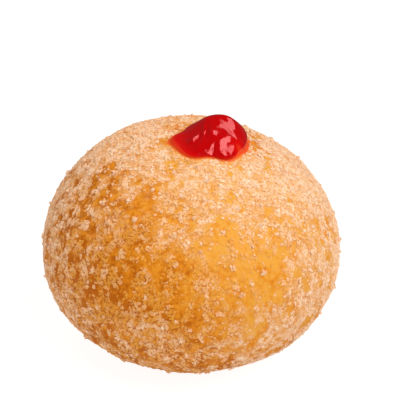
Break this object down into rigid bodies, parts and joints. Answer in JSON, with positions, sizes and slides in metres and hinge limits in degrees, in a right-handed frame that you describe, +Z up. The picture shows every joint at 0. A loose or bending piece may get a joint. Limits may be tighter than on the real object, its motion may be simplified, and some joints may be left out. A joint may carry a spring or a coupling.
{
  "type": "jelly filled doughnut",
  "caption": "Round yeast doughnut rolled in granulated sugar, with a glossy red jelly dollop standing out of the filling hole in its crown.",
  "frame": {"origin": "centre of the flat spot under the doughnut, on the surface that it rests on", "axes": "+Z up through the crown, -Y towards the front that the picture shows, +X to the right of that front"},
  "size_m": [0.0902, 0.0871, 0.0692],
  "materials": {
    "crust": "golden fried crust coated with granulated sugar",
    "jelly": "wet glossy red fruit jelly"
  },
  "bodies": {
    "root": {"dough": "crust", "jelly": "jelly"}
  },
  "joints": []
}
